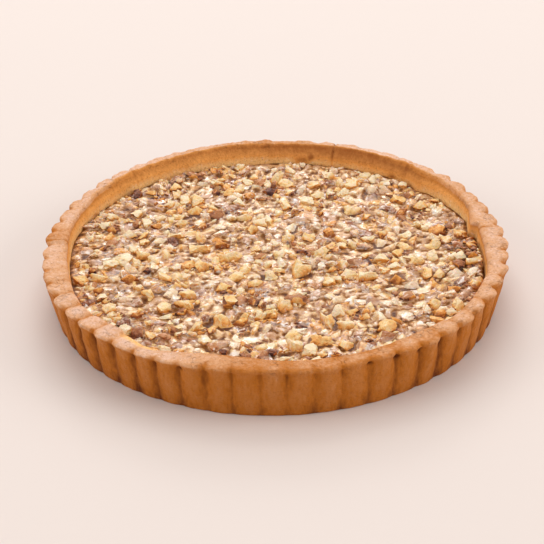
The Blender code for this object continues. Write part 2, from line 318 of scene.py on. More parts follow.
def baked_pastry():
    """Crust or buttery crumb by how brown it is, painted shade included, with specks, a little flour
    and fine fissures.
    """
    material, shades, shader = new_finish("baked_pastry")
    place = shades.place()
    uneven = mottled(shades, shades.stretched(place, DRAWN_UPWARDS), 9.0 * MM, 1.6 * MM)
    # The browned attribute holds baked browning and also painted shade in hollows and under the lip.
    browned_and_shaded = shades.swayed(shades.attribute("browned_and_shaded"), uneven, 0.26)
    crust = shades.ramp(browned_and_shaded, [
        (0.0, (0.80, 0.52, 0.385)),
        (0.28, (0.70, 0.36, 0.178)),
        (0.5, (0.55, 0.20, 0.047)),
        (0.72, (0.49, 0.15, 0.014)),
        (1.0, (0.16, 0.036, 0.005)),
    ])
    butter = shades.ramp(browned_and_shaded, [
        (0.0, (0.96, 0.57, 0.22)),
        (0.5, (0.82, 0.35, 0.085)),
        (1.0, (0.42, 0.14, 0.03)),
    ])
    colour = shades.blend(shades.attribute("buttery"), crust, butter)
    specks = shades.band(shades.grain(place, 1.1 * MM), 0.53, 0.70, 0.0, 0.45)
    colour = shades.blend(specks, colour, TOASTED_SPECK)
    flour = shades.band(shades.grain(place, 1.3 * MM), 0.55, 0.70)
    dusted = shades.math("MULTIPLY", flour, shades.band(browned_and_shaded, 0.42, 0.15, 0.0, 0.4))
    colour = shades.blend(dusted, colour, LOOSE_FLOUR)
    from_line = shades.math("SUBTRACT", shades.grain(place, 5.0 * MM), 0.5)
    winding = shades.band(shades.math("ABSOLUTE", from_line), 0.012, 0.003)
    opened = shades.band(shades.grain(place, 8.0 * MM, 1.0), 0.52, 0.66)
    fissures = shades.math("MULTIPLY", winding, opened)
    fissures = shades.math("MULTIPLY", fissures, shades.attribute("cracking"))
    colour = shades.blend(shades.math("MULTIPLY", fissures, 0.4), colour, FISSURE_BROWN)
    sand = shades.math("SUBTRACT", shades.grain(place, 1.2 * MM, 4.0, 0.65), fissures)
    shades.fill(shader, {
        "Base Color": colour,
        "Roughness": shades.band(uneven, 0.1, 0.9, 0.62, 0.82),
        "Normal": shades.bump(sand, 0.8 * MM, 1.0),
        "Specular IOR Level": 0.15,
    })
    return material


def walnut_group():
    """The colour of flesh and skin, for bare nuts and for those that show through the syrup."""
    inputs = [("Tint", "Float"), ("Skin", "Float")]
    shades, given, result = new_group("walnut_colour", inputs, ("Colour", "Color"))
    flesh = shades.ramp(given.outputs["Tint"], [
        (0.0, (0.84, 0.68, 0.45)),
        (0.3, (0.83, 0.55, 0.22)),
        (0.6, (0.76, 0.32, 0.06)),
        (1.0, (0.32, 0.085, 0.012)),
    ])
    skin = shades.ramp(given.outputs["Tint"], [
        (0.0, (0.52, 0.225, 0.085)),
        (0.5, (0.28, 0.09, 0.032)),
        (1.0, (0.08, 0.027, 0.024)),
    ])
    colour = shades.blend(shades.band(given.outputs["Skin"], 0.4, 0.62), flesh, skin)
    shades.wire(colour, result.inputs["Colour"])
    return shades.tree


WALNUT_COLOUR = walnut_group()


def walnut_colour(shades, tint, skin):
    node = shades.add("ShaderNodeGroup", node_tree=WALNUT_COLOUR)
    shades.fill(node, {"Tint": tint, "Skin": skin})
    return node.outputs["Colour"]


# A pale, cloudy film: partly the syrup's own colour, partly painted sheen.
MILKY_FILM_AND_SHEEN = (0.86, 0.80, 0.75, 1.0)
THIN_SYRUP = (0.81, 0.62, 0.48, 1.0)


def cloudy_film_and_sheen(shades, place, wet):
    """How much pale, cloudy film lies on wet parts: partly the syrup's own cloudiness, partly a
    painted sheen.
    """
    cloudy = shades.band(mottled(shades, place, 6.5 * MM, 2.4 * MM), 0.62, 0.86, 0.0, 0.75)
    return shades.math("MULTIPLY", cloudy, wet)


def broad_patches(shades, place):
    """Stretches of the filling that are darker or paler as a whole: a mask about 0.5."""
    return mottled(shades, place, 15.0 * MM, 8.0 * MM)


def chopped_walnut():
    """Flesh or skin by the piece's own attributes, with a film of syrup over parts of it."""
    material, shades, shader = new_finish("chopped_walnut")
    place = shades.place()
    uneven = mottled(shades, place, 4.4 * MM, 2.2 * MM)
    # The tint attribute holds each piece's tone and the painted shade on its lower and steep sides.
    tint = shades.swayed(shades.attribute("tint"), uneven, 0.45)
    tint = shades.swayed(tint, broad_patches(shades, place), 0.2)
    ragged = shades.swayed(shades.attribute("skin"), mottled(shades, place, 2.2 * MM, 1.3 * MM), 0.5)
    colour = walnut_colour(shades, tint, ragged)
    streaks = mottled(shades, place, 2.6 * MM, 1.0 * MM)
    wet = shades.band(shades.swayed(shades.attribute("wet"), streaks, 0.9), 0.35, 0.8)
    glazed = shades.blend(0.6, colour, THIN_SYRUP)
    colour = shades.blend(wet, colour, glazed)
    # Pale film on wet parts: partly cloudy syrup, partly painted sheen.
    colour = shades.blend(cloudy_film_and_sheen(shades, place, wet), colour, MILKY_FILM_AND_SHEEN)
    paler_in_tint = shades.band(tint, 0.9, 0.4, 0.1, 1.0)
    shades.fill(shader, {
        "Base Color": colour,
        "Roughness": shades.band(wet, 0.0, 1.0, 0.5, 0.28),
        "Normal": shades.bump(shades.grain(place, 2.2 * MM, 2.0, 0.5), 1.8 * MM, 0.9),
        "Coat Weight": shades.math("MULTIPLY", paler_in_tint, shades.band(wet, 0.0, 1.0, 0.15, 1.0)),
        "Coat Roughness": 0.18,
        "Specular IOR Level": 0.3,
        "Subsurface Weight": 0.25,
        "Subsurface Radius": (1.0, 0.5, 0.25),
        "Subsurface Scale": 1.5 * MM,
    })
    return material


def set_syrup():
    """Syrup that is clear where it lies thin over a nut, and brown to dark where it lies deep: partly
    deeper syrup, partly painted shade in the gaps between the nuts.
    """
    material, shades, shader = new_finish("set_syrup")
    place = shades.place()
    uneven = mottled(shades, place, 5.4 * MM, 1.8 * MM)
    depth = shades.swayed(shades.attribute("depth"), uneven, 0.55)
    depth = shades.swayed(depth, broad_patches(shades, place), 0.22)
    tint = shades.swayed(shades.attribute("tint"), mottled(shades, place, 3.4 * MM, 1.6 * MM), 0.8)
    nut = walnut_colour(shades, tint, shades.attribute("skin"))
    # Brown to near black with depth: partly deeper syrup, partly painted shade in the gaps.
    deep = shades.ramp(depth, [
        (0.0, (0.74, 0.57, 0.42)),
        (0.35, (0.58, 0.34, 0.175)),
        (0.6, (0.31, 0.12, 0.026)),
        (1.0, (0.09, 0.022, 0.004)),
    ])
    colour = shades.blend(shades.band(depth, 0.03, 0.5, 0.16, 1.0), nut, deep)
    # Pale film on thin syrup: partly cloudy syrup, partly painted sheen.
    colour = shades.blend(cloudy_film_and_sheen(shades, place, shades.band(depth, 0.45, 0.2)), colour, MILKY_FILM_AND_SHEEN)
    shades.fill(shader, {
        "Base Color": colour,
        "Roughness": shades.band(uneven, 0.1, 0.9, 0.28, 0.45),
        "Normal": shades.bump(shades.grain(place, 2.0 * MM), 0.9 * MM, 0.8),
        "Coat Weight": shades.band(depth, 0.15, 0.5, 0.8, 0.0),
        "Coat Roughness": 0.12,
        "Specular IOR Level": 0.2,
    })
    return material


def matt_floor():
    material, shades, shader = new_finish("matt_floor")
    shades.fill(shader, {
        "Base Color": (0.72, 0.64, 0.60, 1.0),
        "Roughness": 0.9,
        "Specular IOR Level": 0.1,
    })
    return material


# ---------- Piece handling ----------
def add_object(name, data):
    """An object in the scene that shows this data."""
    item = bpy.data.objects.new(name, data)
    bpy.context.scene.collection.objects.link(item)
    return item


def add_solid(name, shape, material):
    """Turns a bmesh into an object of one material."""
    mesh = bpy.data.meshes.new(name)
    shape.to_mesh(mesh)
    shape.free()
    mesh.materials.append(material)
    return add_object(name, mesh)


def make_piece(name, shape, material, node, sharp=None):
    """A finished piece that rides on the tart and stands for a node."""
    piece = add_solid(name, shape, material)
    piece.data.shade_smooth()
    if sharp is not None:
        piece.data.set_sharp_from_angle(angle=math.radians(sharp))
    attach(piece, ROOT)
    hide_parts(node)


# ---------- The pastry case ----------
# The surfaces that the section runs over, kept on each point so that each gets its own relief.
FLOOR, WALL, RIM, SIDE, UNDERSIDE = range(5)

OUTER_ROUNDING = 1.3 * MM
FOOT_ROUNDING = 0.7 * MM
FLUTE_DRIFT = math.radians(0.35)
FLUTE_DRIFT_TURNS = 9.0
CREST_VARIES = 0.5 * MM
CREASE_VARIES = (0.7, 1.25)
CREASE_SHARPNESS = 1.4
RIM_PINCH = 0.85
NOTCH_DIP = 1.8 * MM
NOTCH_SHARPNESS = 1.35
LIP_OVERHANG = 0.2 * MM
POCKET_DEPTH = 0.9 * MM
# The valleys only set the width of the band of painted shade along each crease.
VALLEY_WIDTH = 1.5
VALLEY_SHARPNESS = 1.2
LEDGE_DROP = 1.5 * MM
LEDGE_REACH = 2.4 * MM

# How much browner each feature is than the pastry round it, or how much paler. For the rim's inner
# edge, the notches, the creases, the valleys, the pockets, the pits and the cracks, this is painted
# shade.
INWARD_PAINTED_SHADE = 0.08
NOTCH_PAINTED_SHADE = 0.48
EDGE_BROWNER = 0.10
CREST_PALER = 0.18
FOOT_BROWNER = 0.12
CREASE_PAINTED_SHADE = 0.14
VALLEY_PAINTED_SHADE = 0.15
POCKET_PAINTED_SHADOW = 0.1
PIT_PAINTED_SHADE = 0.5
STAIN_BROWNER = 0.75
RIM_CRACK_PAINTED_SHADE = 0.3 / MM
WALL_CRACK_PAINTED_SHADE = 0.22 / MM

# Where features start and where they are full: a radius on the rim, and a height on the others
PINCHED_BY_RIM = (12.0 * MM, 22.0 * MM)
NOTCHED = (INNER_RADIUS + 4.2 * MM, RIM_RADIUS)
ON_LEDGE = (INNER_RADIUS + 3.4 * MM, INNER_RADIUS + 2.2 * MM)
INWARD = (INNER_RADIUS + 3.0 * MM, INNER_RADIUS)
BY_WALL = (INNER_RADIUS + 2.0 * MM, INNER_RADIUS + 0.5 * MM)
BY_EDGE = (RIM_RADIUS - 3.4 * MM, RIM_RADIUS - 0.8 * MM)
TURNED_DOWN = (CASE_HEIGHT - 0.45 * OUTER_ROUNDING, CASE_HEIGHT - OUTER_ROUNDING)
BUTTERY_WALL = (CASE_HEIGHT - 1.5 * MM, CASE_HEIGHT - 3.5 * MM)
DOWN_WALL = (CASE_HEIGHT - 2.0 * MM, FILLING_LEVEL + 0.5 * MM)
DOWN_SIDE = (9.0 * MM, 0.0)
LIP_SHADE_LOW = (16.0 * MM, 21.5 * MM)
LIP_SHADE_HIGH = (24.0 * MM, 22.4 * MM)
PALER_FROM = 21.5 * MM
PALER_SPREAD = 5.0 * MM
PALER_FULL = 25.0 * MM

# The ledge by the left front, as where it starts and is full, and where it ends, in degrees
LEDGE_STARTS = (227.5, 230.0)
LEDGE_ENDS = (241.5, 239.0)

# Lumps in the dough and crumbs on it: size across and height
LUMPS_ACROSS = 5.5 * MM
LUMP_HEIGHT = 0.34 * MM
RIM_LUMP_HEIGHT = 0.3 * MM
CRUMBS = [(2.1 * MM, 0.22 * MM), (1.2 * MM, 0.10 * MM)]
PRESSED_LUMPS = 0.5
PRESSED_CRUMBS = 0.35

# How far the notches between the lobes run in over the rim: angle in degrees and share
NOTCH_RUN = [
    (0, 0.0), (185, 0.0), (200, 0.4), (215, 0.75), (232, 0.6), (248, 0.1), (300, 0.15),
    (320, 0.45), (340, 0.25), (350, 0.0), (360, 0.0),
]

# How distinct the lobes are, with a pocket under each notch: angle in degrees and share
LOBES = [
    (0, 0.9), (20, 0.8), (45, 0.35), (70, 0.2), (120, 0.2), (145, 0.4), (165, 0.8), (200, 1.0),
    (232, 1.0), (250, 0.55), (295, 0.55), (312, 1.0), (360, 0.9),
]

# How far the flutes stray from even spacing: angle in degrees and degrees
STRAYED = [(235, 0.0), (245, -0.5), (265, -0.9), (285, -0.9), (305, 0.0)]

# Cracks across the wall and the rim, darkened with painted shade: angle and half the width in
# degrees, then the depth
CRACKS = [
    (6.5, 0.6, 0.7 * MM),
    (48.0, 1.2, 0.6 * MM),
    (72.0, 0.5, 1.2 * MM),
    (102.0, 0.6, 0.35 * MM),
    (117.0, 0.6, 0.4 * MM),
    (134.0, 0.7, 0.5 * MM),
    (177.0, 0.5, 0.8 * MM),
]

# Ragged pits under the rim, with painted shade in them: angle, height, half across in degrees, half
# tall, depth
PITS = [
    (291.6, 23.4 * MM, 1.3, 2.0 * MM, 1.3 * MM),
    (298.3, 23.2 * MM, 1.5, 2.4 * MM, 1.7 * MM),
    (304.3, 22.8 * MM, 1.3, 2.2 * MM, 1.5 * MM),
    (247.9, 23.4 * MM, 0.9, 2.4 * MM, 1.2 * MM),
]

# How brown the side is, and how much browner it is round the tart: angle in degrees and browning
SIDE_BROWNING = 0.615
SIDE_BROWNER = [
    (0, 0.02), (190, 0.05), (208, 0.07), (228, 0.06), (245, 0.01), (262, -0.02), (300, -0.01),
    (322, 0.03), (360, 0.02),
]

# How brown the rim is round the tart: angle in degrees and browning
RIM_BROWNING = [
    (0, 0.18), (30, 0.24), (60, 0.06), (90, 0.36), (120, 0.14), (150, 0.12), (165, 0.2),
    (175.5, 0.4), (178, 0.16), (186, 0.16), (195, 0.22), (205, 0.16), (230, 0.06), (245, 0.13),
    (262, 0.43), (295, 0.4), (320, 0.22), (345, 0.18), (360, 0.16),
]

# How brown the inner wall is, at its top and down by the filling: angle in degrees and browning. Part
# of this is painted shade: darker at the top under the rim's lip, and darker from about 46 to 90
# degrees, where the wall faces away from the window on the right.
WALL_TOP_BROWNING_AND_SHADE = [
    (0, 0.5), (30, 0.56), (46, 0.9), (58, 0.98), (72, 1.0), (90, 0.94), (110, 0.77), (130, 0.73),
    (150, 0.62), (170, 0.5), (360, 0.5),
]
WALL_FOOT_BROWNING_AND_SHADE = [
    (0, 0.1), (30, -0.05), (46, 0.36), (58, 0.3), (72, 0.2), (90, 0.02), (110, 0.0), (130, 0.05),
    (150, 0.15), (170, 0.16), (360, 0.1),
]

# How far the wall's browning and painted shade run out over the rim: angle in degrees and share
RIM_LIKE_WALL = [
    (0, 0.0), (30, 0.1), (48, 0.7), (60, 1.0), (120, 1.0), (135, 0.8), (145, 0.3), (158, 0.0),
    (360, 0.0),
]

# Caramel that ran up the wall: angle, height, half across in degrees, half tall
STAINS = [
    (81.0, 18.8 * MM, 4.2, 3.0 * MM),
    (78.5, 20.6 * MM, 1.6, 2.4 * MM),
    (52.0, 18.4 * MM, 2.6, 1.8 * MM),
]

CASE_SHARES = ("folds", "flutes", "rise", "flare", "pressed", "surface")
CASE_LOOKS = ("browned_and_shaded", "buttery", "cracking")


def stretch(start, end, steps, surface):
    """Points from start until just before end: radius, height and shares, then the surface."""
    points = []
    for step in range(steps):
        share = step / steps
        points.append([a + (b - a) * share for a, b in zip(start, end)] + [surface])
    return points


def rounding(centre, radius, start, end, shares_start, shares_end, steps, surface):
    """Points round an arc, from the angle start until just before end, in degrees."""
    points = []
    for step in range(steps):
        share = step / steps
        across, up = polar(radius, math.radians(start + (end - start) * share))
        shares = [a + (b - a) * share for a, b in zip(shares_start, shares_end)]
        points.append([centre[0] + across, centre[1] + up, *shares, surface])
    return points


def case_profile():
    """The case's section: floor, inner wall, over the rim, down the side, and the underside.

    Each point is its radius and height, its shares of the folds, the flutes, the rim's rise,
    the flare and the pressing in, and the surface that it lies on.
    """
    rim_inner = (INNER_RADIUS + EDGE_ROUNDING, CASE_HEIGHT - EDGE_ROUNDING)
    rim_outer = (RIM_RADIUS - OUTER_ROUNDING, CASE_HEIGHT - OUTER_ROUNDING)
    foot = (BASE_RADIUS - FOOT_ROUNDING, FOOT_ROUNDING)
    middle_of_floor = (0.0, WALL_FOOT[1], 0, 0, 0, 0, 0)
    wall_foot = (*WALL_FOOT, 1, 0, 0, 0, 0)
    wall_top = (*WALL_TOP, 1, 0, 0.5, WALL_TOP_FLARE, 0)
    edge_foot = (INNER_RADIUS, rim_inner[1], 1, 0, 1, 0.95, 0)
    edge_top = (rim_inner[0], CASE_HEIGHT, 0.8, 0, 1, 0.9, 0)
    crest = (CREST_RADIUS, CASE_HEIGHT, 0.3, 0.15, 1, 0.5, 0.5)
    rim_end = (rim_outer[0], CASE_HEIGHT, 0, 0.9, 1, 0, 1)
    under_rim = (RIM_RADIUS - 0.5 * MM, CASE_HEIGHT - 2.6 * OUTER_ROUNDING, 0, 1.3, 0.8, 0, 1)
    half_down = (RIM_RADIUS - 1.9 * MM, 15.0 * MM, 0, 0.85, 0.3, 0, 0.6)
    low = (BASE_RADIUS, foot[1], 0, 0.3, 0, 0, 0)
    foot_end = (foot[0], 0.0, *low[2:])
    middle_of_base = (0.0, 0.0, 0, 0, 0, 0, 0)
    points = []
    points += stretch(middle_of_floor, wall_foot, 4, FLOOR)
    points += stretch(wall_foot, wall_top, 14, WALL)
    points += stretch(wall_top, edge_foot, 4, WALL)
    points += rounding(rim_inner, EDGE_ROUNDING, 180, 90, edge_foot[2:], edge_top[2:], 5, RIM)
    points += stretch(edge_top, crest, 5, RIM)
    points += stretch(crest, rim_end, 7, RIM)
    points += rounding(
        rim_outer, OUTER_ROUNDING, 90, -20, rim_end[2:], (0, 1.25, 0.9, 0, 1), 7, RIM
    )
    points += stretch(under_rim, half_down, 12, SIDE)
    points += stretch(half_down, low, 14, SIDE)
    points += rounding(foot, FOOT_ROUNDING, 0, -90, low[2:], foot_end[2:], 3, SIDE)
    points += stretch(foot_end, middle_of_base, 8, UNDERSIDE)
    points.append([*middle_of_base, UNDERSIDE])
    return points


def turned(profile, layer_names, steps):
    """A profile turned once about Z. Each point keeps its named values."""
    shape = bmesh.new()
    layers = [shape.verts.layers.float.new(name) for name in layer_names]
    line = []
    for point in profile:
        vertex = shape.verts.new((point[0], 0.0, point[1]))
        for layer, value in zip(layers, point[2:]):
            vertex[layer] = value
        line.append(vertex)
    for start, end in zip(line, line[1:]):
        shape.edges.new((start, end))
    bmesh.ops.spin(
        shape,
        geom=shape.verts[:] + shape.edges[:],
        cent=(0.0, 0.0, 0.0),
        axis=(0.0, 0.0, 1.0),
        angle=math.tau,
        steps=steps,
        use_merge=True,
    )
    poles = [v for v in shape.verts if math.hypot(v.co.x, v.co.y) < 0.01 * MM]
    bmesh.ops.remove_doubles(shape, verts=poles, dist=0.02 * MM)
    return shape


def degrees_from(angle, middle):
    """How far angle lies past middle, in degrees. Only middle is given in degrees."""
    return math.degrees(turn_between(angle, math.radians(middle)))


def in_blot(angle, height, middle, level, wide, tall):
    """How much of an oval blot this place is, from 1 at the blot's middle to 0 at its edge."""
    aside = degrees_from(angle, middle) / wide
    return smooth(1.0 - math.hypot(aside, (height - level) / tall))


class Around:
    """What changes round the case: the flutes, no two quite alike, the folds and the cracks."""

    def __init__(self, draw):
        self.crest_out = [draw.uniform(-1.0, 1.0) * CREST_VARIES for _ in range(FLUTES)]
        self.crease_share = [draw.uniform(*CREASE_VARIES) for _ in range(FLUTES)]
        self.known = {}

    def read(self, angle):
        turn = degrees_round(angle)
        drifted = angle + FLUTE_DRIFT * noise.noise(FLUTE_DRIFT_TURNS * round_the_tart(angle))
        drifted -= math.radians(along_table(STRAYED, turn))
        across = (drifted - FRONT) * FLUTES / math.tau
        from_crease = abs(math.cos(math.pi * across))
        crest = from_crease ** FLUTE_BULGE
        crease = 1.0 - crest
        valley = 1.0 - from_crease ** VALLEY_WIDTH
        share = along_table(PINCH, turn)
        rim_share = max(share, RIM_PINCH)
        lobes = along_table(LOBES, turn)
        depth = FLUTE_DEPTH * crease * self.crease_share[math.floor(across) % FLUTES]
        depth -= self.crest_out[round(across) % FLUTES] * crest * crest
        cracked = sum(
            deep * smooth(1.0 - abs(degrees_from(angle, middle)) / wide)
            for middle, wide, deep in CRACKS
        )
        return {
            "pinch": depth * share,
            "rim_pinch": depth * rim_share * (0.5 + 0.5 * lobes),
            "crease": crease ** CREASE_SHARPNESS * min(share + 0.2, 1.0),
            "valley": valley ** VALLEY_SHARPNESS * min(share + 0.25, 1.0),
            "notch": crease ** NOTCH_SHARPNESS * rim_share * lobes,
            "lobes": lobes,
            "fading": max(1.5 * lobes - 0.5, 0.2),
            "notch_run": along_table(NOTCH_RUN, turn),
            "rim_brown": along_table(RIM_BROWNING, turn),
            "side_brown": SIDE_BROWNING + along_table(SIDE_BROWNER, turn),
            "wall_top_brown_and_shade": along_table(WALL_TOP_BROWNING_AND_SHADE, turn),
            "wall_foot_brown_and_shade": along_table(WALL_FOOT_BROWNING_AND_SHADE, turn),
            "rim_like_wall": along_table(RIM_LIKE_WALL, turn),
            "fold": fold_reach(angle),
            "rise": rim_rise(angle),
            "flare": flare(angle),
            "pressed": MM * along_table(PRESSED, turn),
            "ledge": smooth_between(turn, *LEDGE_STARTS) * smooth_between(turn, *LEDGE_ENDS),
            "crack": cracked,
        }

    def at(self, angle):
        """What is read here, worked out once for each angle."""
        key = round(angle * 10000.0)
        if key not in self.known:
            self.known[key] = self.read(angle)
        return self.known[key]


def pitted(angle, height):
    """How deep a pit is here, and how much of a pit this is, 0 to 1."""
    depth = 0.0
    amount = 0.0
    for *pit, deep in PITS:
        share = in_blot(angle, height, *pit)
        depth += deep * share
        amount += share
    return depth, amount


def rim_looks(here, radius, z, notched, on_ledge):
    """How brown the rim is here, and how buttery, with painted shade at its inner edge, in the
    notches and in the cracks, and from the wall by its inner edge.
    """
    # Painted shade where the rim rounds down into the wall, and in the notches between the lobes.
    brown = here["rim_brown"] + INWARD_PAINTED_SHADE * smooth_between(radius, *INWARD)
    brown += NOTCH_PAINTED_SHADE * notched
    brown += EDGE_BROWNER * smooth_between(radius, *BY_EDGE) * (1.0 - here["rim_like_wall"])
    like_wall = smooth_between(radius, *BY_WALL) * here["rim_like_wall"]
    # The wall's browning and painted shade come over by the rim's inner edge, and the cracks get
    # painted shade.
    brown += (here["wall_top_brown_and_shade"] - brown) * like_wall + RIM_CRACK_PAINTED_SHADE * here["crack"]
    turned_down = smooth_between(z, *TURNED_DOWN) * smooth_between(radius, *NOTCHED)
    turned_down *= 1.0 - 0.7 * here["rim_like_wall"]
    on_crest = here["fading"] * (1.0 - here["crease"]) ** 2
    brown += (here["side_brown"] - CREST_PALER * on_crest - brown) * turned_down
    return brown, max(on_ledge, like_wall)


def wall_looks(here, angle, z):
    """How brown the inner wall is here, painted shade included, and how buttery."""
    down = smooth_between(z, *DOWN_WALL)
    # Darker at the top: partly browning, partly painted shade under the rim's lip.
    brown = here["wall_top_brown_and_shade"] + (here["wall_foot_brown_and_shade"] - here["wall_top_brown_and_shade"]) * down
    # Painted shade in the cracks.
    brown += WALL_CRACK_PAINTED_SHADE * here["crack"]
    brown += sum(STAIN_BROWNER * in_blot(angle, z, *stain) for stain in STAINS)
    return brown, max(here["rim_like_wall"], smooth_between(z, *BUTTERY_WALL))


def side_browning_and_shade(here, z, pocket):
    """How brown the side is here: paler on the crests under the lip, with painted shade in the
    creases, the valleys round them and the pockets under the lip.
    """
    paler = smooth_between(z, PALER_FROM - PALER_SPREAD * here["lobes"], PALER_FULL)
    paler *= here["fading"] * (1.0 - here["crease"]) ** 2
    brown = here["side_brown"] - CREST_PALER * paler + FOOT_BROWNER * smooth_between(z, *DOWN_SIDE)
    # Painted shade in the creases and in the wider valleys round them.
    brown += CREASE_PAINTED_SHADE * here["crease"] + VALLEY_PAINTED_SHADE * here["valley"]
    # Painted shadow in the pocket under each notch, below the rim's lip.
    return brown + POCKET_PAINTED_SHADOW * pocket


def shape_case(shape, around):
    """Pinches the flutes, reaches the folds in, and gives each surface its relief, its browning and
    its painted shade.
    """
    folds, pinch, rise, lean, pressed, surface = [shape.verts.layers.float[n] for n in CASE_SHARES]
    browned_and_shaded, buttery, cracking = [shape.verts.layers.float.new(name) for name in CASE_LOOKS]
    for vertex in shape.verts:
        x, y, z = vertex.co
        radius = math.hypot(x, y)
        if radius < 0.1 * MM:
            vertex[browned_and_shaded] = SIDE_BROWNING
            continue
        angle = math.atan2(y, x)
        here = around.at(angle)
        on = round(vertex[surface])
        across_rim = smooth_between(radius, *NOTCHED)
        by_rim = 1.0 if on == RIM else smooth_between(z, *PINCHED_BY_RIM)
        pinched = here["pinch"] + (here["rim_pinch"] - here["pinch"]) * by_rim
        shaped = radius - vertex[folds] * here["fold"] - vertex[pinch] * pinched
        shaped += vertex[lean] * here["flare"] - vertex[pressed] * here["pressed"]
        height = z + vertex[rise] * here["rise"]
        spot = Vector((x, y, z))
        lumps = noise.noise(spot / LUMPS_ACROSS) * (LUMP_HEIGHT + RIM_LUMP_HEIGHT * across_rim)
        crumbs = sum(tall * noise.noise(spot / across) for across, tall in CRUMBS)
        brown = SIDE_BROWNING
        butter = 0.0
        if on == RIM:
            notched = max(across_rim, here["notch_run"]) * here["notch"]
            on_ledge = here["ledge"] * smooth_between(radius, *ON_LEDGE)
            shaped += lumps + crumbs - LEDGE_REACH * on_ledge
            height += lumps + crumbs - NOTCH_DIP * notched - here["crack"] - LEDGE_DROP * on_ledge
            brown, butter = rim_looks(here, radius, z, notched, on_ledge)
        elif on == WALL:
            shaped += PRESSED_LUMPS * lumps + PRESSED_CRUMBS * crumbs
            shaped += here["crack"] * smooth_between(z, FILLING_LEVEL, WALL_TOP[1])
            brown, butter = wall_looks(here, angle, z)
        elif on == SIDE:
            under_lip = smooth_between(z, *LIP_SHADE_LOW) * smooth_between(z, *LIP_SHADE_HIGH)
            pocket = under_lip * here["crease"] * here["lobes"]
            shaped += PRESSED_LUMPS * lumps + PRESSED_CRUMBS * crumbs
            shaped -= LIP_OVERHANG * under_lip + POCKET_DEPTH * pocket
            brown = side_browning_and_shade(here, z, pocket)
        if on in (RIM, SIDE):
            depth, amount = pitted(angle, z)
            shaped -= depth
            # Painted shade in the pits.
            brown += PIT_PAINTED_SHADE * amount
        vertex.co = (*polar(shaped, angle), height)
        # Baked browning together with painted shade in hollows and under the lip.
        vertex[browned_and_shaded] = brown
        vertex[buttery] = butter
        vertex[cracking] = float(on == RIM)


def make_case():
    draw = random.Random(SEED)
    shape = turned(case_profile(), CASE_SHARES, FLUTES * STEPS_PER_FLUTE)
    shape_case(shape, Around(draw))
    bmesh.ops.recalc_face_normals(shape, faces=shape.faces)
    for name in CASE_SHARES:
        shape.verts.layers.float.remove(shape.verts.layers.float[name])
    make_piece("pastry_case", shape, baked_pastry(), "pastry_crust")


# ---------- The filling's outline and level ----------
def wall_radius(angle, height):
    """The inner wall's radius below its rounded edge."""
    up_the_wall = (height - WALL_FOOT[1]) / (WALL_TOP[1] - WALL_FOOT[1])
    leant = WALL_FOOT[0] + up_the_wall * (WALL_TOP[0] - WALL_FOOT[0] + WALL_TOP_FLARE * flare(angle))
    return leant - fold_reach(angle)


def level_at(x, y):
    """The syrup's level, a little domed."""
    out = math.hypot(x, y) / INNER_RADIUS
    return FILLING_LEVEL + FILLING_DOME * (1.0 - out * out)


# ---------- Chopped walnut shapes ----------
# A bit of kernel, as shares of its size: the ball it starts from, its lumps and ridges, where
# the knife cuts, and how far a corner is softened, if it turns by more than this angle
KERNEL_BALL = 0.62
LUMP_TURNS = 2.2
RIDGE_TURNS = 4.5
RIDGE_LEVEL = 0.25
LUMPINESS = 0.6
CUT_AT = (0.26, 0.46)
FLAT_TOP_AT = 0.34
SOFTENED = 0.05
SOFTENED_OVER = math.radians(35)


def knife_cut(shape, point, normal):
    """Cuts away what lies past the plane, and closes the cut with bare flesh."""
    skin = shape.faces.layers.float["skin"]
    cut = bmesh.ops.bisect_plane(
        shape,
        geom=shape.verts[:] + shape.edges[:] + shape.faces[:],
        plane_co=point,
        plane_no=normal,
        clear_outer=True,
    )
    rim = [part for part in cut["geom_cut"] if isinstance(part, bmesh.types.BMEdge)]
    for face in bmesh.ops.holes_fill(shape, edges=rim, sides=0)["faces"]:
        face[skin] = 0.0


def kernel_bit(draw, fineness, cuts, skinned, flat_top=False, softened=0.0):
    """A lumpy bit of kernel, 1 across, knife cut on some sides, with its edges softened."""
    shape = bmesh.new()
    skin = shape.faces.layers.float.new("skin")
    bmesh.ops.create_icosphere(shape, subdivisions=fineness, radius=KERNEL_BALL)
    offset = Vector([draw.uniform(0, 50) for _ in range(3)])
    for vertex in shape.verts:
        lump = noise.noise(vertex.co * LUMP_TURNS + offset) * LUMPINESS
        lump += (RIDGE_LEVEL - abs(noise.noise(vertex.co * RIDGE_TURNS + offset))) * LUMPINESS
        vertex.co *= 1.0 + lump
    for face in shape.faces:
        face[skin] = skinned
    for _ in range(cuts):
        lean = Vector((draw.gauss(0, 1), draw.gauss(0, 1), draw.gauss(0, 0.7))).normalized()
        knife_cut(shape, lean * draw.uniform(*CUT_AT), lean)
    if flat_top:
        lean = Vector((draw.gauss(0, 0.25), draw.gauss(0, 0.25), 1.0)).normalized()
        knife_cut(shape, Vector((0.0, 0.0, FLAT_TOP_AT)), lean)
    if softened > 0.0:
        corners = [e for e in shape.edges if e.calc_face_angle(0.0) > SOFTENED_OVER]
        bmesh.ops.bevel(
            shape,
            geom=corners,
            offset=softened,
            affect="EDGES",
            segments=1,
            profile=0.5,
            material=-1,
            clamp_overlap=True,
        )
    low, high = [[pick(v.co[a] for v in shape.verts) for a in range(3)] for pick in (min, max)]
    middle = Vector([0.5 * (top + foot) for foot, top in zip(low, high)])
    bmesh.ops.translate(shape, vec=-middle, verts=shape.verts)
    bmesh.ops.scale(shape, vec=[1.0 / (b - a) for a, b in zip(low, high)], verts=shape.verts)
    bmesh.ops.recalc_face_normals(shape, faces=shape.faces)
    shape.verts.layers.float.new("tint")
    shape.verts.layers.float.new("wet")
    return shape


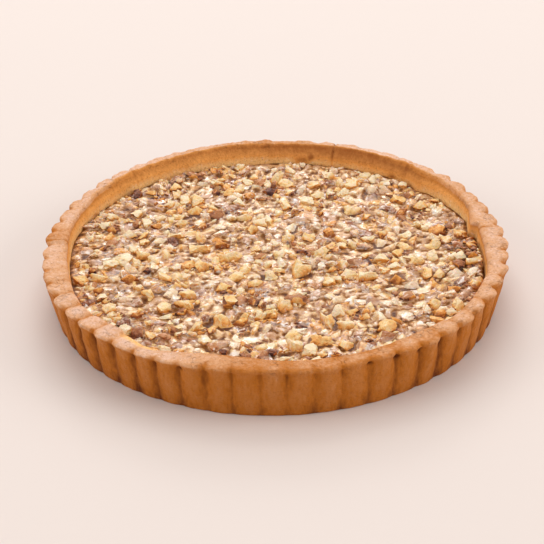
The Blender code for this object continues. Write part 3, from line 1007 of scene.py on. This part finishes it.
def bit_kinds(draw, count, fineness, cuts, skinned_share, softened=0.0, flat_share=0.0):
    """Bits of one size: the first few have skin on, and the last few are cut flat on top."""
    bits = []
    for number in range(count):
        skinned = float(number < skinned_share * count)
        flat_top = number >= (1.0 - flat_share) * count
        bits.append(kernel_bit(draw, fineness, draw.randint(*cuts), skinned, flat_top, softened))
    return bits


# ---------- Laying the pieces ----------
CELL = 0.5 * MM
HALF_CELLS = 230
WALL_GAP = 0.5 * MM
WALL_LOOK = 0.03
TRIES = 30
HOLLOWS = 1.3 * MM
HOLLOWS_ACROSS = 8.0 * MM
HOLLOWS_OFFSET = (3.1, 5.7, 0.0)
BY_THE_WALL = (78.0 * MM, 97.0 * MM)

# How a piece changes from its top down: browner below its middle and on steep sides, partly from
# browner syrup and partly as painted shade, and wetter by the syrup. Heights are shares of its own,
# or mm over the syrup, and steepness is a normal's z.
BROWNER_AND_SHADED_BELOW = 0.4
BROWNER_AND_SHADED_ASIDE = 0.45
WETTER_BELOW = 0.4
BELOW_MIDDLE = (0.45, -0.2)
STEEP = (0.8, 0.1)
BY_SYRUP = (1.0, -0.6)

# How far the nuts are heaped up against the wall: angle in degrees and mm
HEAPED = [
    (0, 3.6), (7, 2.6), (14, 0.6), (25, 0.0), (95, 0.0), (104, 1.0), (130, 1.2), (150, 0.4),
    (165, 0.0), (325, 0.0), (338, 2.0), (350, 3.6), (360, 3.6),
]


def heaped_at(x, y):
    """How far the nuts' tops rise and sink over the tart."""
    by_the_wall = smooth_between(math.hypot(x, y), *BY_THE_WALL)
    heaped = MM * along_table(HEAPED, degrees_round(math.atan2(y, x))) * by_the_wall
    return heaped + HOLLOWS * rolling(x, y, HOLLOWS_ACROSS, HOLLOWS_OFFSET)


def cells_under(x, y, length, width, turn):
    """The ground cells that a piece of this size covers."""
    reach = 0.5 * math.hypot(length, width)
    across = np.arange(math.floor((x - reach) / CELL), math.ceil((x + reach) / CELL) + 1)
    along = np.arange(math.floor((y - reach) / CELL), math.ceil((y + reach) / CELL) + 1)
    cell_x, cell_y = np.meshgrid(across, along, indexing="ij")
    from_x = cell_x * CELL - x
    from_y = cell_y * CELL - y
    u = (from_x * math.cos(turn) + from_y * math.sin(turn)) / (0.5 * length)
    v = (from_y * math.cos(turn) - from_x * math.sin(turn)) / (0.5 * width)
    inside = np.abs(u) ** 3 + np.abs(v) ** 3 <= 1.0
    return cell_x[inside] + HALF_CELLS, cell_y[inside] + HALF_CELLS


class Heap:
    """The pieces laid so far, and the ground that they cover."""

    def __init__(self):
        self.taken = np.zeros((2 * HALF_CELLS + 1, 2 * HALF_CELLS + 1), bool)
        self.carrier = bpy.data.meshes.new("carrier")
        self.shapes = {}

    def covered(self, cells):
        return float(self.taken[cells].mean()) if len(cells[0]) else 1.0

    def lay(self, kind, bit, place, size, turn, tilt, tint, wet):
        """Sets one bit down, with its middle at place, in the heap's mesh of this kind."""
        piece = bit.copy()
        matrix = (
            Matrix.Translation(place)
            @ Matrix.Rotation(turn, 4, "Z")
            @ Matrix.Rotation(tilt[0], 4, "X")
            @ Matrix.Rotation(tilt[1], 4, "Y")
            @ Matrix.Diagonal((*size, 1.0))
        )
        bmesh.ops.transform(piece, matrix=matrix, verts=piece.verts)
        piece.normal_update()
        tint_layer = piece.verts.layers.float["tint"]
        wet_layer = piece.verts.layers.float["wet"]
        for vertex in piece.verts:
            down = smooth_between((vertex.co.z - place.z) / size[2], *BELOW_MIDDLE)
            aside = smooth_between(vertex.normal.z, *STEEP)
            # Darker below the middle and on steep sides: partly browner syrup, partly painted shade.
            vertex[tint_layer] = tint + BROWNER_AND_SHADED_BELOW * down + BROWNER_AND_SHADED_ASIDE * aside
            over = (vertex.co.z - level_at(vertex.co.x, vertex.co.y)) / MM
            vertex[wet_layer] = wet + WETTER_BELOW * smooth_between(over, *BY_SYRUP)
        piece.to_mesh(self.carrier)
        piece.free()
        if kind not in self.shapes:
            self.shapes[kind] = bmesh.new()
        self.shapes[kind].from_mesh(self.carrier)


def clear_of_wall(x, y, reach):
    """Whether a piece that reaches this far round its middle clears the wall."""
    angle = math.atan2(y, x)
    room = min(wall_radius(angle + turn, FILLING_LEVEL) for turn in (-WALL_LOOK, 0.0, WALL_LOOK))
    return math.hypot(x, y) + reach < room - WALL_GAP


CREAM, FLESH, GOLD, TOASTED, SKIN, DARK = range(6)

# The pieces that stand out most, placed after the photo: x, y, length across and depth in mm, and
# their look
CHIEF_NUTS = [
    (-26, -61.5, 13, 13, GOLD), (-42, -46.5, 12, 8, GOLD), (-22, -44.5, 7, 9, SKIN),
    (-10.5, -43.5, 6, 8, DARK), (-6, -46, 5, 6, SKIN), (-86, -18, 10, 6, GOLD),
    (-71, -20.5, 9, 6, TOASTED), (-42, -36.5, 8, 6, FLESH), (-36, -10.5, 9, 8, GOLD),
    (-15, -14, 6, 7, GOLD), (-3, -20, 8, 10, CREAM), (-18, -21, 9, 6, FLESH),
    (-25, -31, 9, 5, GOLD), (-60, -36.5, 8, 9, FLESH), (-48, -67, 5, 6, SKIN),
    (-52, -48, 8, 7, FLESH), (-78, -47, 8, 6, FLESH), (-74, -58, 6, 5, GOLD),
    (-94, -7, 6, 5, FLESH), (10, -41.5, 12, 10, SKIN), (4, -48.5, 8, 8, FLESH),
    (13, -16.5, 12, 13, GOLD), (26, -28, 7, 6, FLESH), (59, -25.5, 8, 9, TOASTED),
    (74, -22, 6, 8, GOLD), (45, -21.5, 10, 7, FLESH), (51, -66.5, 9, 10, GOLD),
    (25, -62.5, 7, 12, GOLD), (32, -66, 8, 6, FLESH), (76, -57, 7, 6, TOASTED),
    (20, -78, 12, 8, GOLD), (32, -83, 8, 6, GOLD), (8, -82, 8, 7, FLESH),
    (75, -47.5, 7, 8, GOLD), (85, -37, 6, 6, TOASTED), (90, -17.5, 6, 6, SKIN),
    (96, -16, 6, 5, FLESH), (97, -8, 6, 5, SKIN), (70, -7.5, 8, 6, FLESH),
    (80, 7.5, 9, 10, GOLD), (84, 22, 10, 9, TOASTED), (66, 56.5, 9, 8, SKIN),
    (77, 48.5, 8, 6, GOLD), (14, 2.5, 6, 4, DARK), (28, 21.5, 7, 9, TOASTED),
    (17, 17, 8, 6, SKIN), (23, 2, 9, 6, GOLD), (2, 0.5, 7, 6, CREAM), (7, 17, 7, 8, FLESH),
    (9, 66.5, 6, 6, SKIN), (22, 74.5, 9, 7, GOLD), (42, 74, 9, 7, GOLD),
    (23, 62.5, 8, 6, FLESH), (41, 45.5, 11, 9, CREAM), (-42, 48, 8, 12, GOLD),
    (-47, 59, 7, 8, FLESH), (-48, 35, 8, 6, GOLD), (-16, 40, 9, 8, CREAM),
    (-31, 69, 5, 6, DARK), (-25, 74, 5, 5, TOASTED), (-26, 12, 7, 7, TOASTED),
    (-38, 8.5, 11, 10, GOLD), (-22, -1.5, 12, 8, CREAM), (-11, 25.5, 7, 8, GOLD),
    (-13, 63, 6, 6, TOASTED), (-2, 68, 8, 8, DARK), (-43, 87, 9, 8, SKIN),
    (-53, 73, 7, 6, FLESH), (-73, 67, 5, 8, DARK), (-50, 22, 9, 5, FLESH),
    (-66, 1.5, 9, 6, GOLD), (-83, 29.5, 7, 5, SKIN), (-24, -86, 4, 4, DARK),
    (-2, -88, 4, 3, DARK), (-90, -12, 4, 4, DARK), (-63, -13.5, 4, 4, DARK),
]

# Wet facets that lie level and mirror the window: x, y, length across and depth in mm
WET_FLATS = [
    (40, -44.5, 6, 5), (61, -58.5, 6, 8), (10, -69, 9, 5), (52, -47.5, 6, 4), (43, 36, 5, 5),
    (32, 43, 4, 4), (-15, 74, 4, 4), (-84, -2, 5, 4), (77, -12, 4, 4), (-36, -84, 4, 3),
]

# How each look is tinted and skinned: tint and share of skin
LOOKS = {
    CREAM: (0.0, False), FLESH: (0.08, False), GOLD: (0.18, False), TOASTED: (0.5, False),
    SKIN: (0.2, True), DARK: (0.75, True),
}

# The scattered pieces: name, smallest and largest length in mm, how many, how much of one may
# overlap the rest, and how far its top stands over the syrup in mm
SIZES = [
    ("proud_walnuts", 5.0, 9.5, 245, 0.12, (1.7, 3.2)),
    ("walnut_pieces", 5.0, 9.0, 420, 0.22, (0.3, 1.9)),
    ("walnut_bits", 3.0, 5.0, 1100, 0.35, (0.0, 1.4)),
    ("walnut_grit", 1.8, 3.0, 500, 0.45, (0.0, 1.2)),
]
# These stand clear of the syrup, which climbs their sides up to this far below their tops.
CLEAR_OF_SYRUP = {"walnut_chunks": 2.4 * MM, "proud_walnuts": 1.9 * MM}

# Tints of the scattered pieces: the usual one and its spread, the limits, and the size of patches
PROUD_TINT = (0.04, 0.2)
USUAL_TINT = (0.27, 0.14)
PALEST = -0.1
DARKEST = 0.9
TINT_PATCHES = (14.0 * MM, 5.5 * MM)
GLAZED_ACROSS = 15.0 * MM
GLAZED_OFFSET = (7.3, 2.1, 0.0)


def draw_tint(draw, x, y, proud):
    """Pale to toasted, with paler and browner patches over the tart."""
    patch = sum(0.5 * rolling(x, y, across) for across in TINT_PATCHES)
    tint = draw.gauss(*(PROUD_TINT if proud else USUAL_TINT)) + patch
    return min(max(tint, PALEST), DARKEST)


def glazed_patch(x, y):
    """Where the syrup lies thick and where it is thin, about -0.5 to 0.5."""
    return rolling(x, y, GLAZED_ACROSS, GLAZED_OFFSET)


def draw_wet(draw, x, y):
    """How wet a scattered piece is, more so where the syrup is thick."""
    return draw.uniform(0.0, 0.7) + 0.9 * glazed_patch(x, y)


# How pieces lie: the ground that one marks and its real size, as shares of its listed size, how
# far it turns and rocks, in radians, its height as a share of its size, and how wet it is
MARKED = 0.92
GROWN = 1.06
TURNED = 0.3
CHIEF_ROCKS = 0.15
SCATTERED_ROCKS = 0.3
CHIEF_TALL = 0.4
SCATTERED_TALL = 0.75
SLENDER = (0.55, 0.95)
CHIEF_WET = (0.0, 0.35)
FLAT_WET = 0.9

# How far the chief nuts stand over the syrup in mm, with more for each mm of their size, and
# the wet flats
CHIEF_OVER = 2.0
CHIEF_OVER_BY_SIZE = 0.08
FLAT_OVER = 1.3 * MM


def set_down(heap, draw, name, bit, place, size, turn, over, tint, wet, rock):
    """Lays one bit with its top this far over the syrup, and marks the ground it covers."""
    x, y = place
    length, width, tall = size
    heap.taken[cells_under(x, y, MARKED * length, MARKED * width, turn)] = True
    top = level_at(x, y) + heaped_at(x, y) + over
    tilt = (draw.gauss(0.0, rock), draw.gauss(0.0, rock))
    middle = Vector((x, y, top - 0.5 * tall))
    heap.lay(name, bit, middle, (GROWN * length, GROWN * width, tall), turn, tilt, tint, wet)


def lay_chief(heap, draw, kinds):
    """Lays the pieces that stand out, and the wet flats between them."""
    for x, y, across, deep, look in CHIEF_NUTS:
        tint, skinned = LOOKS[look]
        bits = kinds["skinned_chunks"] if skinned else kinds["bare_chunks"]
        set_down(
            heap, draw, "walnut_chunks", draw.choice(bits), (x * MM, y * MM),
            (across * MM, deep * MM, CHIEF_TALL * (across + deep) * MM),
            draw.uniform(-TURNED, TURNED), (CHIEF_OVER + CHIEF_OVER_BY_SIZE * (across + deep)) * MM,
            tint + draw.uniform(-0.06, 0.06), draw.uniform(*CHIEF_WET), CHIEF_ROCKS,
        )
    for x, y, across, deep in WET_FLATS:
        set_down(
            heap, draw, "walnut_chunks", draw.choice(kinds["flats"]), (x * MM, y * MM),
            (across * MM, deep * MM, CHIEF_TALL * across * MM), draw.uniform(-TURNED, TURNED),
            FLAT_OVER, 0.0, FLAT_WET, 0.0,
        )


def scatter(heap, draw, kinds):
    """Drops pieces of each size at random, where there is ground left for them."""
    for name, least, most, count, overlap, over in SIZES:
        left = count
        for _ in range(count * TRIES):
            if left == 0:
                break
            angle = draw.uniform(0.0, math.tau)
            radius = INNER_RADIUS * math.sqrt(draw.random())
            x, y = polar(radius, angle)
            length = draw.uniform(least, most) * MM
            width = length * draw.uniform(*SLENDER)
            turn = draw.uniform(0.0, math.pi)
            if not clear_of_wall(x, y, 0.4 * length):
                continue
            if heap.covered(cells_under(x, y, length, width, turn)) > overlap:
                continue
            set_down(
                heap, draw, name, draw.choice(kinds[name]), (x, y),
                (length, width, SCATTERED_TALL * width), turn, draw.uniform(*over) * MM,
                draw_tint(draw, x, y, name in CLEAR_OF_SYRUP), draw_wet(draw, x, y), SCATTERED_ROCKS,
            )
            left -= 1


# ---------- The syrup that the walnuts lie in ----------
SYRUP_CELLS = 300
SYRUP_FOOT = WALL_FOOT[1] + 0.35 * MM
SYRUP_REACH = 0.15 * MM
SYRUP_BELOW = -0.6 * MM
SYRUP_RIPPLE = 0.5 * MM
SYRUP_RIPPLE_ACROSS = 6.0 * MM
SYRUP_THICKENED = 0.4 * MM
SYRUP_VARIES = 0.9 * MM
SYRUP_EVENED = 4
SYRUP_DEPTHS = (-0.2 * MM, 3.0 * MM)
NARROW_GAPS_CLOSED = 2
# Where no nut lies under the syrup, it counts as this deep over nut of this tint, so gaps come out
# dark: partly deep syrup, partly painted shade.
GAP_DEPTH = 2.4 * MM
GAP_TINT = 0.6


def disc_place(x, y):
    """Bends the square from -1 to 1 to a round disc, as angle and share of the radius."""
    if x == 0.0 and y == 0.0:
        return 0.0, 0.0
    if abs(x) > abs(y):
        share = abs(x)
        angle = math.pi / 4.0 * y / x
        if x < 0.0:
            angle += math.pi
    else:
        share = abs(y)
        angle = math.pi / 2.0 - math.pi / 4.0 * x / y
        if y < 0.0:
            angle += math.pi
    return angle, share


def seen_from_above(nuts, x, y):
    """The highest nut that syrup may cover here: its height, tint and skin, or None."""
    best = None
    for shape, tree, clear in nuts:
        place, _, number, _ = tree.ray_cast(Vector((x, y, 2.0 * CASE_HEIGHT)), Vector((0, 0, -1)))
        if place is not None and (best is None or place.z - clear > best[0]):
            face = shape.faces[number]
            tint = face.verts[0][shape.verts.layers.float["tint"]]
            best = (place.z - clear, tint, face[shape.faces.layers.float["skin"]])
    return best


def spread_out(heights, times):
    """Evens out a grid of heights with its neighbours."""
    for _ in range(times):
        edged = np.pad(heights, 1, mode="edge")
        heights = (
            4.0 * heights
            + 2.0 * (edged[:-2, 1:-1] + edged[2:, 1:-1] + edged[1:-1, :-2] + edged[1:-1, 2:])
            + edged[:-2, :-2] + edged[:-2, 2:] + edged[2:, :-2] + edged[2:, 2:]
        ) / 16.0
    return heights


def make_syrup(heap):
    """Syrup that fills the gaps, climbs the nuts and covers the smallest of them."""
    nuts = []
    for name, shape in heap.shapes.items():
        shape.faces.ensure_lookup_table()
        nuts.append((shape, BVHTree.FromBMesh(shape), CLEAR_OF_SYRUP.get(name, 0.0)))
    shape = bmesh.new()
    depth_layer = shape.verts.layers.float.new("depth")
    tint_layer = shape.verts.layers.float.new("tint")
    skin_layer = shape.verts.layers.float.new("skin")
    bmesh.ops.create_grid(shape, x_segments=SYRUP_CELLS, y_segments=SYRUP_CELLS, size=1.0)
    rim = [edge for edge in shape.edges if edge.is_boundary]
    surface = shape.verts[:]
    pool = []
    unders = []
    thick = []
    for vertex in surface:
        angle, share = disc_place(vertex.co.x, vertex.co.y)
        radius = share * (wall_radius(angle, FILLING_LEVEL) + SYRUP_REACH)
        x, y = polar(radius, angle)
        level = level_at(x, y)
        top, tint, skin = seen_from_above(nuts, x, y) or (level - GAP_DEPTH, GAP_TINT, 0.0)
        vertex[tint_layer] = tint
        vertex[skin_layer] = skin
        pool.append(level + SYRUP_BELOW + SYRUP_RIPPLE * rolling(x, y, SYRUP_RIPPLE_ACROSS))
        unders.append(top)
        thick.append(SYRUP_THICKENED + SYRUP_VARIES * glazed_patch(x, y))
        vertex.co = (x, y, level)
    side = math.isqrt(len(surface))
    pool, unders, thick = [np.array(row).reshape(side, side) for row in (pool, unders, thick)]
    climbing = spread_out(np.maximum(pool, unders), SYRUP_EVENED) + thick
    heights = np.maximum(pool, climbing)
    depths = (heights - spread_out(unders, NARROW_GAPS_CLOSED)).ravel()
    for vertex, height, depth in zip(surface, heights.ravel(), depths):
        vertex.co.z = height
        vertex[depth_layer] = smooth_between(depth, *SYRUP_DEPTHS)
    drawn = bmesh.ops.extrude_edge_only(shape, edges=rim)["geom"]
    for vertex in [part for part in drawn if isinstance(part, bmesh.types.BMVert)]:
        angle = math.atan2(vertex.co.y, vertex.co.x)
        vertex.co = (*polar(wall_radius(angle, SYRUP_FOOT), angle), SYRUP_FOOT)
    bmesh.ops.holes_fill(shape, edges=[e for e in shape.edges if e.is_boundary], sides=0)
    bmesh.ops.recalc_face_normals(shape, faces=shape.faces)
    make_piece("syrup", shape, set_syrup(), "walnut_filling")


# Edges of the nuts that turn by more than this, in degrees, stay sharp
NUT_EDGES_SHARP = 70.0


def make_filling():
    draw = random.Random(SEED)
    heap = Heap()
    kinds = {
        "bare_chunks": bit_kinds(draw, 12, 3, (3, 6), 0.0, SOFTENED, flat_share=0.4),
        "skinned_chunks": bit_kinds(draw, 8, 3, (3, 6), 1.0, SOFTENED),
        "flats": [kernel_bit(draw, 3, 3, 0.0, flat_top=True) for _ in range(4)],
        "proud_walnuts": bit_kinds(draw, 20, 3, (3, 6), 0.2, SOFTENED, flat_share=0.25),
        "walnut_pieces": bit_kinds(draw, 24, 2, (2, 5), 0.3),
        "walnut_bits": bit_kinds(draw, 18, 2, (2, 5), 0.3),
        "walnut_grit": bit_kinds(draw, 14, 1, (2, 4), 0.3),
    }
    lay_chief(heap, draw, kinds)
    scatter(heap, draw, kinds)
    make_syrup(heap)
    walnut = chopped_walnut()
    for name, shape in heap.shapes.items():
        make_piece(name, shape, walnut, "walnut_filling", NUT_EDGES_SHARP)
    bpy.data.meshes.remove(heap.carrier)


# ---------- Floor, light and camera ----------
CAMERA_PITCH = math.radians(31.24)
CAMERA_DISTANCE = 6.59 * RIM_RADIUS
CAMERA_ROLL = math.radians(-1.09)
PICTURE = 544
FOCAL_PIXELS = 1500.0
MIDDLE_SHIFT = (3.5, 15.5)
SENSOR = 36.0
FLOOR_REACH = 8.0


def make_camera():
    camera = add_object("camera", bpy.data.cameras.new("camera"))
    ahead = Vector((0.0, math.cos(CAMERA_PITCH), -math.sin(CAMERA_PITCH)))
    right = Vector((1.0, 0.0, 0.0))
    up = right.cross(ahead)
    rolled_right = right * math.cos(CAMERA_ROLL) + up * math.sin(CAMERA_ROLL)
    rolled_up = up * math.cos(CAMERA_ROLL) - right * math.sin(CAMERA_ROLL)
    matrix = Matrix((rolled_right, rolled_up, -ahead)).transposed().to_4x4()
    matrix.translation = -ahead * CAMERA_DISTANCE
    camera.matrix_world = matrix
    camera.data.sensor_width = SENSOR
    camera.data.lens = SENSOR * FOCAL_PIXELS / PICTURE
    camera.data.shift_x = -MIDDLE_SHIFT[0] / PICTURE
    camera.data.shift_y = MIDDLE_SHIFT[1] / PICTURE
    bpy.context.scene.camera = camera


def make_floor():
    shape = bmesh.new()
    bmesh.ops.create_grid(shape, x_segments=1, y_segments=1, size=FLOOR_REACH)
    floor = add_solid("floor", shape, matt_floor())


# The soft lights: name, azimuth and elevation in degrees, size in m, power in W, and colour
LIGHT_DISTANCE = 2.6
LIGHTS = [
    ("window_behind", 92, 38, 2.1, 30.0, (1.0, 0.98, 0.97)),
    ("window_glint", 92, 31, 0.5, 6.0, (1.0, 1.0, 1.0)),
    ("overhead", 90, 75, 2.4, 25.0, (1.0, 0.98, 0.96)),
    ("window_left", 188, 24, 1.6, 24.0, (1.0, 0.98, 0.96)),
    ("window_right", -8, 24, 1.6, 30.0, (1.0, 0.98, 0.96)),
    ("fill_front", -90, 30, 2.4, 12.0, (1.0, 0.97, 0.94)),
]
ROOM_COLOUR = (1.0, 0.96, 0.93, 1.0)
ROOM_STRENGTH = 0.38


def soft_light(name, azimuth, elevation, size, power, colour):
    """A square soft light that looks at the tart."""
    light = bpy.data.lights.new(name, "AREA")
    light.shape = "SQUARE"
    light.size = size
    light.energy = power
    light.color = colour
    lamp = add_object(name, light)
    flat, up = polar(1.0, math.radians(elevation))
    where = LIGHT_DISTANCE * Vector((*polar(flat, math.radians(azimuth)), up))
    lamp.matrix_world = Matrix.Translation(where) @ where.to_track_quat("Z", "Y").to_matrix().to_4x4()


def make_light():
    for light in LIGHTS:
        soft_light(*light)
    world = bpy.data.worlds.new("pale_room")
    world.use_nodes = True
    background = world.node_tree.nodes["Background"]
    background.inputs["Color"].default_value = ROOM_COLOUR
    background.inputs["Strength"].default_value = ROOM_STRENGTH
    bpy.context.scene.world = world
    bpy.context.scene.view_settings.view_transform = "Standard"
    bpy.context.scene.view_settings.look = "None"


make_case()
make_filling()
make_floor()
make_light()
make_camera()
